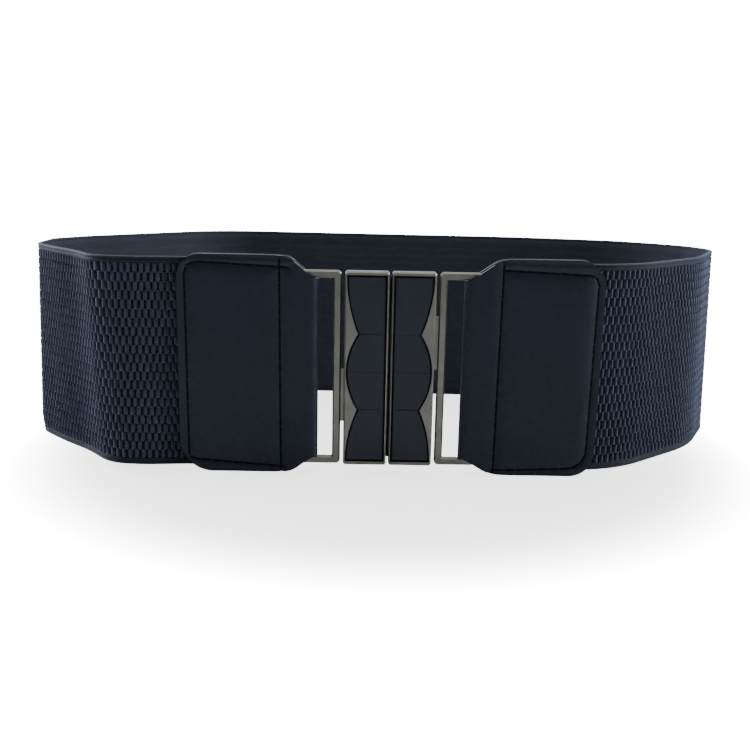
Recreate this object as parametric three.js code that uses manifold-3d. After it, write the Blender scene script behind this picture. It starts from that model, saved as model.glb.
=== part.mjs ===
import * as THREE from 'three';
import { mergeVertices } from 'three/addons/utils/BufferGeometryUtils.js';
import Module from 'manifold-3d';

const wasm = await Module();
wasm.setup();

// An elastic stretch belt, closed and standing on its lower edge. The buckle faces -Y, +Z is up.
// All sizes are in millimetres.

// The elastic band
const bandWidth = 75;
const bandThick = 2;
const selvedgeWidth = 2.2;
const selvedgeThick = 1.5;
const selvedgeStep = 0.5;

// The loop that the band stands in, outside to outside, and how far its lower edge leans out at the ends
const standWidth = 270.8;
const standDepth = 121;
const endLean = 2.8;
const leanStart = 0.66;

// The crease by the left tab leans too: its upper end lies this much further out
const creaseLean = 4.2;
const creaseReach = 20;

// Corners of the loop seen from above, from the buckle round by the left, the back and the right.
// along is a share of half the standing width, back and bend are shares of the standing depth.
const planCorners = [
  { name: 'crease', along: -0.736, back: 0, bend: 0.12 },
  { name: 'left front', along: -1.002, back: 0.338, bend: 0.116 },
  { name: 'left end', along: -1, back: 0.52, bend: 0.116 },
  { name: 'left back', along: -0.923, back: 0.64, bend: 0.248 },
  { name: 'back left', along: -0.567, back: 1.001, bend: 0.372 },
  { name: 'back middle', along: 0.429, back: 0.949, bend: 0.99 },
  { name: 'back right', along: 0.814, back: 0.855, bend: 0.58 },
  { name: 'right back', along: 0.952, back: 0.684, bend: 0.132 },
  { name: 'right end', along: 1.001, back: 0.562, bend: 0.165 },
  { name: 'right front', along: 0.878, back: 0.273, bend: 0.496 },
  { name: 'front right', along: 0.61, back: 0, bend: 0.33 },
];

// The leather tabs, each one strip folded round a loop, with the band's end sewn between its flaps
const leatherThick = 1.3;
const tabLength = 49;
const tabOverhang = 1.6;
const bandRise = 2.2;
const stitchToFold = 12.9;
const bandEndInset = 2.4;
const pinchLow = 3.2;
const pinchTop = 2;
const sewnGap = 0.4;

// Each tab was cut by hand: how round its outer corners are, how long its slants, and how far it
// has slid out along its loop
const leftCut = { cornerTop: 8, cornerLow: 12.5, slant: 8.4, slid: 0 };
const rightCut = { cornerTop: 9.5, cornerLow: 9.5, slant: 10.4, slid: 0.5 };

// The loops, the plates and what joins them
const buckleInset = 4.1;
const buckleDrop = 0.7;
const plateWidth = 15.5;
const plateThick = 4;
const plateCorner = 1;
const plateProud = 1.4;
const plateGap = 0.8;
const hingeGap = 1.1;
const loopWidth = 14.9;
const loopThick = 2;
const loopBar = 2.3;
const loopHingeBar = 2.9;
const loopEndBar = 2.7;
const loopCorner = 1.6;
const windowCorner = 0.5;
const windowShown = 5.2;
const metalBevel = 0.5;

// The scalloped inlays
const inlayThick = 0.8;
const inlayBevel = 0.2;
const recessDepth = 0.9;
const rimWall = 0.65;
const rimEnds = 1.3;
const inlayGroove = 0.4;
const cuspDepth = 4.1;
const cuspSpan = 27.2;
const cuspDrop = 0.7;
const scoreWidth = 0.4;
const scoreLift = 0.1;
const scoreStop = 1.2;
const arcSteps = 8;

// The hinge between a plate and its loop
const knuckleHeight = 19;
const knuckleOffset = 9.7;
const barrelRadius = 1;
const lugThick = 1.2;
const pinRadius = 0.45;
const pinEnds = 2.4;
const pinInset = 1.3;
const roundSides = 16;

// The hook that holds the two plates together
const hookThick = 1;
const hookInset = 2;
const hookReachLeft = 6;
const hookReachRight = 9;
const hookLip = 1.2;
const hookBite = 1.5;
const rivetRadius = 1.2;
const rivetHeadRadius = 2.2;
const rivetHead = 0.6;
const rivetPlace = 5.5;
const rivetSpacing = 36;

// Clearances between pieces that touch or turn on each other, and how far a cut runs past a face
const seatGap = 0.3;
const runGap = 0.1;
const cutPast = 1;

// Sizes that follow from those above
const halfStand = standWidth / 2;
const tabHeight = bandWidth + 2 * tabOverhang;
const buckleHeight = tabHeight - 2 * buckleInset;
const buckleMiddle = tabHeight / 2 - buckleDrop;
const windowHeight = buckleHeight - 2 * loopEndBar;
const foldHeight = windowHeight - 2 * seatGap;
const plateInner = plateGap / 2;
const plateOuter = plateInner + plateWidth;
const loopInner = plateOuter + hingeGap;
const loopOuter = loopInner + loopWidth;
const foldEdge = loopInner + loopHingeBar + windowShown;
const tabEnd = foldEdge + tabLength;
const bandMiddle = -bandThick / 2;
const flapOffset = bandThick / 2 + seatGap + leatherThick / 2;
const foldCentre = foldEdge + flapOffset + leatherThick / 2;
const plateFront = plateProud;
const plateBack = plateFront - plateThick;

const leather = new THREE.MeshStandardMaterial({ color: 0x20242c, roughness: 0.55, metalness: 0 });
const elastic = new THREE.MeshStandardMaterial({ color: 0x1c212d, roughness: 0.8, metalness: 0 });
const gunmetal = new THREE.MeshStandardMaterial({ color: 0x5c5b54, roughness: 0.35, metalness: 0.9 });
const steel = new THREE.MeshStandardMaterial({ color: 0x8c8c88, roughness: 0.4, metalness: 0.9 });
const enamel = new THREE.MeshStandardMaterial({ color: 0x232833, roughness: 0.4, metalness: 0 });

const belt = new THREE.Group();

function addPiece(name, geometry, material) {
  const mesh = new THREE.Mesh(geometry, material.clone());
  mesh.name = name;
  belt.add(mesh);
}

// Closed bodies: shared corners merged, and faces turned to point out
function closed(geometry) {
  geometry.deleteAttribute('normal');
  geometry.deleteAttribute('uv');
  geometry.clearGroups();
  const merged = mergeVertices(geometry, 1e-4);
  const a = new THREE.Vector3();
  const b = new THREE.Vector3();
  const c = new THREE.Vector3();
  const points = merged.attributes.position;
  const order = merged.index.array;
  let volume = 0;
  for (let i = 0; i < order.length; i += 3) {
    a.fromBufferAttribute(points, order[i]);
    b.fromBufferAttribute(points, order[i + 1]);
    c.fromBufferAttribute(points, order[i + 2]);
    volume += a.dot(b.cross(c));
  }
  if (volume < 0) {
    for (let i = 0; i < order.length; i += 3) {
      const first = order[i];
      order[i] = order[i + 1];
      order[i + 1] = first;
    }
  }
  merged.computeVertexNormals();
  return merged;
}

function solid(geometry) {
  const body = closed(geometry);
  return new wasm.Manifold(new wasm.Mesh({
    numProp: 3,
    vertProperties: Float32Array.from(body.attributes.position.array),
    triVerts: Uint32Array.from(body.index.array),
  }));
}

function meshOf(body) {
  const mesh = body.getMesh();
  const geometry = new THREE.BufferGeometry();
  geometry.setAttribute('position', new THREE.BufferAttribute(mesh.vertProperties, 3));
  geometry.setIndex(new THREE.BufferAttribute(mesh.triVerts, 1));
  geometry.computeVertexNormals();
  return geometry;
}

// The line of the band's outer face seen from above, with an arc at each corner.
// It starts at the middle of the buckle and goes round by the left.
function standingLine() {
  const corners = planCorners.map((corner) => ({
    at: new THREE.Vector2(corner.along * halfStand, corner.back * standDepth),
    radius: corner.bend * standDepth,
  }));
  const start = new THREE.Vector2(0, 0);
  const stops = [start, ...corners.map((corner) => corner.at), start];
  const sides = stops.slice(1).map((stop, i) => stop.clone().sub(stops[i]));
  const fillets = corners.map((corner, i) => {
    const turn = sides[i].angleTo(sides[i + 1]);
    return { ...corner, turn, reach: corner.radius * Math.tan(turn / 2) };
  });
  const spare = sides.map((side, i) => {
    const before = i > 0 ? fillets[i - 1].reach : 0;
    const after = i < fillets.length ? fillets[i].reach : 0;
    return Math.min(1, side.length() / (before + after));
  });
  const line = new THREE.CurvePath();
  let from = start;
  fillets.forEach((fillet, i) => {
    const reach = fillet.reach * Math.min(spare[i], spare[i + 1]);
    const radius = reach / Math.tan(fillet.turn / 2);
    const into = sides[i].clone().normalize();
    const inward = new THREE.Vector2(into.y, -into.x);
    const bendStart = fillet.at.clone().addScaledVector(into, -reach);
    const centre = bendStart.clone().addScaledVector(inward, radius);
    const opening = inward.clone().negate().angle();
    const bend = new THREE.EllipseCurve(centre.x, centre.y, radius, radius, opening,
      opening - fillet.turn, true);
    line.add(new THREE.LineCurve(from, bendStart));
    line.add(bend);
    from = bend.getPoint(1);
  });
  line.add(new THREE.LineCurve(from, start));
  return line;
}

const line = standingLine();
const lineLength = line.getLength();

function onLine(distance) {
  let left = distance;
  let curve = line.curves[0];
  for (curve of line.curves) {
    if (left <= curve.getLength()) break;
    left -= curve.getLength();
  }
  const share = Math.min(left / curve.getLength(), 1);
  const at = curve.getPointAt(share);
  const ahead = curve.getTangentAt(share);
  return { at, outward: new THREE.Vector2(-ahead.y, ahead.x) };
}

// How near a place on the front of the loop is to the crease, from 0 to 1
function nearCrease(at) {
  const crease = planCorners[0].along * halfStand;
  if (at.y > standDepth / 2) return 0;
  const reach = at.x < crease ? halfStand + crease : creaseReach;
  return THREE.MathUtils.clamp(1 - Math.abs(at.x - crease) / reach, 0, 1);
}

// A point at a distance along the line, so far outside it, at a height above the floor.
// Towards the ends of the loop the lower edge leans out past the upper one.
function stand(distance, outside, height) {
  const { at, outward } = onLine(distance);
  const plan = at.clone().addScaledVector(outward, outside);
  const up = height / tabHeight;
  const nearEnd = (Math.abs(at.x) / halfStand - leanStart) / (1 - leanStart);
  const lean = endLean * THREE.MathUtils.clamp(nearEnd, 0, 1) * (1 - up);
  const slide = creaseLean * nearCrease(at) * up;
  return new THREE.Vector3(plan.x + Math.sign(at.x) * lean - slide, plan.y, height);
}

// The band is sewn in above the tabs' lower edges, and its back rests on the floor
function bandLift(distance) {
  const back = onLine(distance).at.y / standDepth;
  return bandRise * THREE.MathUtils.clamp(1 - back, 0, 1);
}

// A closed slab of quads, with each corner put in place by its column along, side and row up
function slab(columns, rows, place) {
  const geometry = new THREE.BoxGeometry(1, 1, 1, columns, 1, rows);
  const points = geometry.attributes.position;
  for (let i = 0; i < points.count; i += 1) {
    const column = Math.round((points.getX(i) + 0.5) * columns);
    const row = Math.round((points.getZ(i) + 0.5) * rows);
    const { x, y, z } = place(column, points.getY(i) > 0, row);
    points.setXYZ(i, x, y, z);
  }
  return closed(geometry);
}

// The elastic band: one woven strip with thinner selvedges, from inside one tab to inside the other
const bandStart = foldEdge + stitchToFold + bandEndInset;
const bandEnd = lineLength - bandStart;
const straightStep = 20;
const leastStep = 1;
const bendStep = THREE.MathUtils.degToRad(6);

function bandStations() {
  const stations = [];
  let done = 0;
  for (const curve of line.curves) {
    const length = curve.getLength();
    const bend = curve.isEllipseCurve ? curve.aStartAngle - curve.aEndAngle : 0;
    const steps = Math.max(1, Math.ceil(length / straightStep), Math.ceil(bend / bendStep));
    for (let i = 0; i < steps; i += 1) stations.push(done + (length * i) / steps);
    done += length;
  }
  const inside = stations.filter((s) => s > bandStart + leastStep && s < bandEnd - leastStep);
  return [bandStart, ...inside, bandEnd];
}

function elasticBand() {
  const stations = bandStations();
  const full = selvedgeWidth + selvedgeStep;
  const rows = [
    { height: 0, thick: selvedgeThick },
    { height: selvedgeWidth, thick: selvedgeThick },
    { height: full, thick: bandThick },
    { height: bandWidth / 2, thick: bandThick },
    { height: bandWidth - full, thick: bandThick },
    { height: bandWidth - selvedgeWidth, thick: selvedgeThick },
    { height: bandWidth, thick: selvedgeThick },
  ];
  return slab(stations.length - 1, rows.length - 1, (column, front, row) => {
    const distance = stations[column];
    const half = rows[row].thick / 2;
    const outside = bandMiddle + (front ? half : -half);
    return stand(distance, outside, bandLift(distance) + rows[row].height);
  });
}

addPiece('elastic_band', elasticBand(), elastic);

// The tabs: a strip of leather runs in as the front flap, turns round the loop's hidden bar and
// runs back as the flap behind the band. Its edges are pressed together past the band's edges.
const foldSteps = 8;
const flapSteps = 5;
const cornerSteps = 4;
const stitchReach = 2;

function flapDistances(cut) {
  const distances = [];
  const rounded = Math.max(cut.cornerTop, cut.cornerLow);
  for (let i = 0; i <= cornerSteps; i += 1) {
    distances.push(tabEnd - rounded * (1 - Math.cos((i / cornerSteps) * (Math.PI / 2))));
  }
  const stitch = foldEdge + stitchToFold;
  const flat = tabEnd - rounded;
  for (let i = 1; i < flapSteps; i += 1) {
    distances.push(flat + ((stitch + stitchReach - flat) * i) / flapSteps);
  }
  distances.push(stitch + stitchReach, stitch, stitch - stitchReach);
  distances.push(foldCentre + (stitch - stitchReach - foldCentre) / 2);
  return distances;
}

function tabStations(cut) {
  const flap = flapDistances(cut).map((distance) => ({ distance, turn: 0 }));
  const fold = [];
  for (let i = 0; i <= foldSteps; i += 1) {
    fold.push({ distance: foldCentre, turn: (Math.PI * i) / foldSteps });
  }
  const back = [...flap].reverse().map(({ distance }) => ({ distance, turn: Math.PI }));
  return [...flap, ...fold, ...back];
}

// How much the strip is cut back from the full height: round at the outer end, slanted to the fold.
// The slant ends on the fold's first third, in front of the loop.
function cutBack(distance, turn, foldCut, corner, slant) {
  const toEnd = tabEnd - distance;
  if (toEnd < corner) {
    return corner - Math.sqrt(corner ** 2 - (corner - toEnd) ** 2);
  }
  const turned = Math.min(turn, Math.PI - turn);
  const beforeSlantEnd = distance - foldCentre + flapOffset * (Math.PI / 6 - turned);
  return foldCut * THREE.MathUtils.clamp(1 - beforeSlantEnd / slant, 0, 1);
}

// How far a flap is pressed towards the other: at the sewn edges, and along the stitch by the fold
function pressed(distance, height) {
  const stitch = foldEdge + stitchToFold;
  const free = flapOffset - leatherThick / 2 - sewnGap / 2;
  const fromEdge = Math.min(height / pinchLow, (tabHeight - height) / pinchTop);
  const atEdge = THREE.MathUtils.clamp(1 - fromEdge, 0, 1) ** 2;
  const atStitch = THREE.MathUtils.clamp(1 - Math.abs(distance - stitch) / stitchReach, 0, 1);
  return free * Math.max(atEdge, atStitch / 2);
}

function tab(cut, fromLine) {
  const stations = tabStations(cut);
  const rows = [
    { share: 0, margin: 0 },
    { share: 0, margin: pinchLow / 3 },
    { share: 0, margin: (2 * pinchLow) / 3 },
    { share: 0, margin: pinchLow },
    { share: 0.5, margin: 0 },
    { share: 1, margin: -pinchTop },
    { share: 1, margin: (-2 * pinchTop) / 3 },
    { share: 1, margin: -pinchTop / 3 },
    { share: 1, margin: 0 },
  ];
  const topCut = tabHeight - (buckleMiddle + foldHeight / 2);
  const lowCut = buckleMiddle - foldHeight / 2;
  return slab(stations.length - 1, rows.length - 1, (column, front, row) => {
    const { distance, turn } = stations[column];
    const { share, margin } = rows[row];
    const bottom = cutBack(distance, turn, lowCut, cut.cornerLow, cut.slant);
    const top = tabHeight - cutBack(distance, turn, topCut, cut.cornerTop, cut.slant);
    const height = THREE.MathUtils.lerp(bottom, top, share) + margin;
    const press = pressed(distance, height);
    const reach = flapOffset - press + (front ? leatherThick / 2 : -leatherThick / 2);
    const along = distance - reach * Math.sin(turn);
    const outside = bandMiddle + reach * Math.cos(turn);
    return stand(fromLine(along + cut.slid), outside, height);
  });
}

addPiece('left_tab', tab(leftCut, (distance) => distance), leather);
addPiece('right_tab', tab(rightCut, (distance) => lineLength - distance), leather);

// Flat metal pieces are drawn facing the front, with y as the height, and pushed forward
// from one depth to another. Depths count from the band's outer face, forward is positive.
function forward(shape, from, to, bevel) {
  const geometry = new THREE.ExtrudeGeometry(shape, {
    depth: to - from - 2 * bevel,
    curveSegments: cornerSteps,
    bevelEnabled: bevel > 0,
    bevelThickness: bevel,
    bevelSize: bevel,
    bevelOffset: -bevel,
    bevelSegments: 1,
  });
  geometry.translate(0, 0, from + bevel);
  geometry.rotateX(Math.PI / 2);
  return geometry;
}

function roundedFrame(shape, x0, x1, y0, y1, radius) {
  shape.moveTo(x0 + radius, y0);
  shape.lineTo(x1 - radius, y0);
  shape.absarc(x1 - radius, y0 + radius, radius, -Math.PI / 2, 0, false);
  shape.lineTo(x1, y1 - radius);
  shape.absarc(x1 - radius, y1 - radius, radius, 0, Math.PI / 2, false);
  shape.lineTo(x0 + radius, y1);
  shape.absarc(x0 + radius, y1 - radius, radius, Math.PI / 2, Math.PI, false);
  shape.lineTo(x0, y0 + radius);
  shape.absarc(x0 + radius, y0 + radius, radius, Math.PI, 1.5 * Math.PI, false);
  return shape;
}

function block(x0, x1, from, to, z0, z1) {
  const geometry = new THREE.BoxGeometry(Math.abs(x1 - x0), to - from, z1 - z0);
  geometry.translate((x0 + x1) / 2, -(from + to) / 2, (z0 + z1) / 2);
  return geometry;
}

function uprightRod(radius, x, depth, z0, z1) {
  const geometry = new THREE.CylinderGeometry(radius, radius, z1 - z0, roundSides);
  geometry.rotateX(Math.PI / 2);
  geometry.translate(x, -depth, (z0 + z1) / 2);
  return geometry;
}

function forwardRod(radius, x, from, to, z) {
  const geometry = new THREE.CylinderGeometry(radius, radius, to - from, roundSides);
  geometry.translate(x, -(from + to) / 2, z);
  return geometry;
}

// The hinge: a lug on the loop's inner bar carries a barrel that sits in a notch of the plate.
// One casting serves both sides, turned half round, so the right knuckle is higher.
const pinDepth = bandMiddle - lugThick / 4;
const pinDistance = plateOuter - pinInset;

function knuckle(side) {
  const middle = buckleMiddle + side * knuckleOffset;
  return { low: middle - knuckleHeight / 2, high: middle + knuckleHeight / 2 };
}

function hingePin(side) {
  const { low, high } = knuckle(side);
  return closed(uprightRod(pinRadius, side * pinDistance, pinDepth, low - pinEnds, high + pinEnds));
}

// The loops: flat metal frames with rounded corners; the leather turns round the outer bar
function loop(side) {
  const inner = side * loopInner;
  const outer = side * loopOuter;
  const hingeSide = side * (loopInner + loopHingeBar);
  const hiddenSide = side * (loopOuter - loopBar);
  const x0 = Math.min(inner, outer);
  const x1 = Math.max(inner, outer);
  const low = buckleMiddle - buckleHeight / 2;
  const high = buckleMiddle + buckleHeight / 2;
  const shape = roundedFrame(new THREE.Shape(), x0, x1, low, high, loopCorner);
  shape.holes.push(roundedFrame(new THREE.Path(), Math.min(hingeSide, hiddenSide),
    Math.max(hingeSide, hiddenSide), low + loopEndBar, high - loopEndBar, windowCorner));
  const frame = solid(forward(shape, bandMiddle - loopThick / 2, bandMiddle + loopThick / 2, metalBevel));
  const span = knuckle(side);
  const lugFront = pinDepth + lugThick / 2;
  const lug = solid(block(side * pinDistance, side * (loopInner + loopHingeBar / 2), lugFront - lugThick,
    lugFront, span.low, span.high));
  const barrel = solid(uprightRod(barrelRadius, side * pinDistance, pinDepth, span.low, span.high));
  const bore = solid(uprightRod(pinRadius + runGap, side * pinDistance, pinDepth,
    span.low - pinEnds, span.high + pinEnds));
  return meshOf(frame.add(lug).add(barrel).subtract(bore));
}

// The scalloped outline: straight towards the middle of the buckle, and on the outer side one
// whole arc between half arcs that run out at the top and the bottom. grow widens it all round.
function scallop(side, grow) {
  const low = buckleMiddle - buckleHeight / 2 + rimEnds + inlayGroove - grow;
  const high = buckleMiddle + buckleHeight / 2 - rimEnds - inlayGroove + grow;
  const straight = plateInner + rimWall + inlayGroove - grow;
  const bulge = plateOuter - rimWall - inlayGroove + grow;
  const middle = buckleMiddle - cuspDrop;
  const arcs = [
    { extreme: low, cusp: middle - cuspSpan / 2, leaving: true },
    { extreme: middle, cusp: middle - cuspSpan / 2, leaving: false },
    { extreme: middle, cusp: middle + cuspSpan / 2, leaving: true },
    { extreme: high, cusp: middle + cuspSpan / 2, leaving: false },
  ];
  const shape = new THREE.Shape();
  shape.moveTo(side * straight, high);
  shape.lineTo(side * straight, low);
  shape.lineTo(side * bulge, low);
  for (const { extreme, cusp, leaving } of arcs) {
    const chord = Math.abs(cusp - extreme);
    const radius = (chord ** 2 + cuspDepth ** 2) / (2 * cuspDepth);
    const opening = Math.asin(chord / radius);
    for (let k = 1; k <= arcSteps; k += 1) {
      const angle = opening * (leaving ? k / arcSteps : 1 - k / arcSteps);
      const x = bulge - radius * (1 - Math.cos(angle));
      const y = extreme + Math.sign(cusp - extreme) * radius * Math.sin(angle);
      shape.lineTo(side * x, y);
    }
  }
  return shape;
}

// The inlays: thin plates of dark enamel, scored across at the cusps and at the middle
function scoreLine(side, height) {
  const inner = plateInner + rimWall + inlayGroove + scoreStop;
  const bar = new THREE.BoxGeometry(plateOuter - inner, scoreWidth, scoreWidth);
  bar.rotateX(Math.PI / 4);
  bar.translate(side * (inner + plateOuter) / 2, -(plateFront + scoreLift), height);
  return solid(bar);
}

function inlay(side) {
  const seat = plateFront - recessDepth + runGap;
  let body = solid(forward(scallop(side, 0), seat, seat + inlayThick, inlayBevel));
  const middle = buckleMiddle - cuspDrop;
  for (const height of [middle - cuspSpan / 2, middle, middle + cuspSpan / 2]) {
    body = body.subtract(scoreLine(side, height));
  }
  return meshOf(body);
}

// The plates: cast trays with a thin rim, notched at the back edge for the loop's barrel.
// The left one has a slot for the hook's lip, the right one two rivets that carry the hook.
function plateTray(side) {
  const inner = side * plateInner;
  const outer = side * plateOuter;
  const low = buckleMiddle - buckleHeight / 2;
  const high = buckleMiddle + buckleHeight / 2;
  const shape = roundedFrame(new THREE.Shape(), Math.min(inner, outer), Math.max(inner, outer), low, high,
    plateCorner);
  const tray = solid(forward(shape, plateBack, plateFront, metalBevel));
  const recess = solid(forward(scallop(side, inlayGroove), plateFront - recessDepth,
    plateFront + cutPast, 0));
  const span = knuckle(side);
  const notchWall = pinDistance - barrelRadius - seatGap;
  const notch = solid(block(side * notchWall, side * (plateOuter + cutPast), plateBack - cutPast,
    pinDepth + barrelRadius + seatGap, span.low - seatGap, span.high + seatGap));
  const pinHole = solid(uprightRod(pinRadius + runGap, side * pinDistance, pinDepth,
    span.low - pinEnds - seatGap, span.high + pinEnds + seatGap));
  return tray.subtract(recess).subtract(notch).subtract(pinHole);
}

const hookFront = plateBack - seatGap;
const hookBack = hookFront - hookThick;
const hookLow = buckleMiddle - buckleHeight / 2 + hookInset;
const hookHigh = buckleMiddle + buckleHeight / 2 - hookInset;
const rivetHeights = [buckleMiddle - rivetSpacing / 2, buckleMiddle + rivetSpacing / 2];

function leftPlate() {
  const slot = solid(block(-hookReachLeft - seatGap, -hookReachLeft + hookLip + seatGap,
    plateBack - cutPast, plateBack + hookBite + seatGap, hookLow - seatGap, hookHigh + seatGap));
  return meshOf(plateTray(-1).subtract(slot));
}

function rightPlate() {
  let body = plateTray(1);
  const headFront = hookBack - runGap;
  for (const height of rivetHeights) {
    body = body.add(solid(forwardRod(rivetRadius, rivetPlace, headFront - rivetHead, plateBack + metalBevel,
      height)));
    body = body.add(solid(forwardRod(rivetHeadRadius, rivetPlace, headFront - rivetHead, headFront,
      height)));
  }
  return meshOf(body);
}

// The hook: a plain steel strip riveted behind the right plate, its bent lip in the left one's slot
function claspHook() {
  const strip = solid(block(-hookReachLeft, hookReachRight, hookBack, hookFront, hookLow, hookHigh));
  const lip = solid(block(-hookReachLeft, -hookReachLeft + hookLip, hookBack, plateBack + hookBite,
    hookLow, hookHigh));
  let body = strip.add(lip);
  for (const height of rivetHeights) {
    body = body.subtract(solid(forwardRod(rivetRadius + runGap, rivetPlace, hookBack - cutPast,
      hookFront + cutPast, height)));
  }
  return meshOf(body);
}

addPiece('left_loop', loop(-1), gunmetal);
addPiece('right_loop', loop(1), gunmetal);
addPiece('left_plate', leftPlate(), gunmetal);
addPiece('right_plate', rightPlate(), gunmetal);
addPiece('left_inlay', inlay(-1), enamel);
addPiece('right_inlay', inlay(1), enamel);
addPiece('left_hinge_pin', hingePin(-1), steel);
addPiece('right_hinge_pin', hingePin(1), steel);
addPiece('clasp_hook', claspHook(), steel);

// The origin is at the middle of the belt's box, on the floor
const box = new THREE.Box3().setFromObject(belt, true);
const middle = box.getCenter(new THREE.Vector3());
belt.position.set(-middle.x, -middle.y, -box.min.z);

export default belt;
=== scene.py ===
import bmesh
import bpy
import math
from mathutils import Matrix, Vector


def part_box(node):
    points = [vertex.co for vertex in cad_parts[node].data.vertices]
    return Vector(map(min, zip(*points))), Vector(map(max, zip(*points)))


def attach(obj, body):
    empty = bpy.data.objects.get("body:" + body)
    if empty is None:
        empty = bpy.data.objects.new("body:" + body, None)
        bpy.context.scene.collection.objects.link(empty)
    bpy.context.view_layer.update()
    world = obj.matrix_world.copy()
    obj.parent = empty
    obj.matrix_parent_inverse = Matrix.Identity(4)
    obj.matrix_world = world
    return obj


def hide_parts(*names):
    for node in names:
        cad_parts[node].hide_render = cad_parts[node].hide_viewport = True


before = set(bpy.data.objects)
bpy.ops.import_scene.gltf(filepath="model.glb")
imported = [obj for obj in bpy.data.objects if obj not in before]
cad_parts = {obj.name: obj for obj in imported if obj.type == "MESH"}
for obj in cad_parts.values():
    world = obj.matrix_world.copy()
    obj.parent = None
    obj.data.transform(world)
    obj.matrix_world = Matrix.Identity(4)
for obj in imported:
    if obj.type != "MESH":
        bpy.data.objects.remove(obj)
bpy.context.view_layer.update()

# The camera
# The belt is seen from the front, a little to the left of the clasp and from just above its rim.
# The camera looks slightly down and leans by a degree, with a short telephoto lens.

camera_place = Vector((-0.00843, -0.4011, 0.11896))
camera_down = math.radians(13.79)
camera_turned = math.radians(0.784)
camera_lean = math.radians(1.19)
camera_lens = 47.64
camera_shift = 4 / 750

ahead = Vector((math.sin(camera_turned) * math.cos(camera_down),
                math.cos(camera_turned) * math.cos(camera_down), -math.sin(camera_down)))
level = Vector((math.cos(camera_turned), -math.sin(camera_turned), 0))
over = level.cross(ahead)
right = math.cos(camera_lean) * level + math.sin(camera_lean) * over
above = -math.sin(camera_lean) * level + math.cos(camera_lean) * over
bpy.ops.object.camera_add(location=camera_place,
                          rotation=Matrix((right, above, -ahead)).transposed().to_euler())
camera = bpy.context.object
camera.data.lens = camera_lens
camera.data.shift_y = camera_shift
bpy.context.scene.camera = camera

# The floor and the light
# A smooth white table top, faintly glossy. Only the camera sees its glow: white far off, with a
# painted shadow as a soft grey pool round the belt. Two wide soft lights stand at the sides, a
# third hangs above, and the front stays dim.

floor_size = 14
shade_across = 0.178
shade_along = 0.161
shade_back = 0.03
shade_inner, shade_outer = 0.577, 0.192
shade_falloff = 4.5
shade_glow, white_glow = 2.3, 18
wall_white = 20
daylight = (0.84, 0.9, 1)


def new_finish(name, colour, roughness, metallic=0.0):
    """A material with one plain colour and roughness, which patterns may vary further on."""
    finish = bpy.data.materials.new(name)
    finish.use_nodes = True
    shader = finish.node_tree.nodes["Principled BSDF"]
    shader.inputs["Base Color"].default_value = (*colour, 1)
    shader.inputs["Roughness"].default_value = roughness
    shader.inputs["Metallic"].default_value = metallic
    return finish, finish.node_tree, shader


def object_pattern(tree, kind, stretch, **settings):
    """A texture node that reads Object coordinates in metres, stretched along X, Y and Z."""
    place = tree.nodes.new("ShaderNodeTexCoord")
    mapping = tree.nodes.new("ShaderNodeMapping")
    mapping.inputs["Scale"].default_value = stretch
    pattern = tree.nodes.new(kind)
    for socket, value in settings.items():
        pattern.inputs[socket.replace("_", " ")].default_value = value
    tree.links.new(place.outputs["Object"], mapping.inputs["Vector"])
    tree.links.new(mapping.outputs["Vector"], pattern.inputs["Vector"])
    return pattern


def spread(tree, source, low, high, from_low=0.3, from_high=0.7):
    """A texture's value mapped from one range to another."""
    node = tree.nodes.new("ShaderNodeMapRange")
    node.inputs["From Min"].default_value = from_low
    node.inputs["From Max"].default_value = from_high
    node.inputs["To Min"].default_value = low
    node.inputs["To Max"].default_value = high
    tree.links.new(source, node.inputs["Value"])
    return node.outputs["Result"]


def uneven_gloss(tree, shader, pattern, low, high):
    """A roughness that varies with a pattern between two values."""
    tree.links.new(spread(tree, pattern.outputs["Fac"], low, high), shader.inputs["Roughness"])


table_top, tree, shader = new_finish("table_top", (0.86, 0.87, 0.88), 0.1)
shader.inputs["Specular IOR Level"].default_value = 0.4
cloudy = object_pattern(tree, "ShaderNodeTexNoise", (1, 1, 1), Scale=2.0, Detail=2.0)
uneven_gloss(tree, shader, cloudy, 0.08, 0.13)
# Painted shadow: the camera-only glow is dimmed from white to grey in a soft pool round the belt.
painted_shadow_pool = object_pattern(tree, "ShaderNodeTexGradient", (1 / shade_across, 1 / shade_along, 1))
painted_shadow_pool.gradient_type = "SPHERICAL"
painted_shadow_place = painted_shadow_pool.inputs["Vector"].links[0].from_node
painted_shadow_place.inputs["Location"].default_value = (0, shade_back / shade_along, 0)
fade = tree.nodes.new("ShaderNodeMath")
fade.operation = "POWER"
fade.inputs[1].default_value = shade_falloff
tree.links.new(spread(tree, painted_shadow_pool.outputs["Fac"], 0, 1, shade_inner, shade_outer), fade.inputs[0])
seen = tree.nodes.new("ShaderNodeLightPath")
painted_floor_glow = tree.nodes.new("ShaderNodeMath")
painted_floor_glow.operation = "MULTIPLY"
tree.links.new(spread(tree, fade.outputs[0], shade_glow, white_glow, 0, 1), painted_floor_glow.inputs[0])
tree.links.new(seen.outputs["Is Camera Ray"], painted_floor_glow.inputs[1])
tree.links.new(painted_floor_glow.outputs[0], shader.inputs["Emission Strength"])
shader.inputs["Emission Color"].default_value = (1, 1, 1, 1)

bpy.ops.object.select_all(action="DESELECT")
bpy.ops.mesh.primitive_plane_add(size=floor_size, location=(0, 0, 0))
floor = bpy.context.object
floor.name = "floor"
floor.data.materials.append(table_top)

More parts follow.
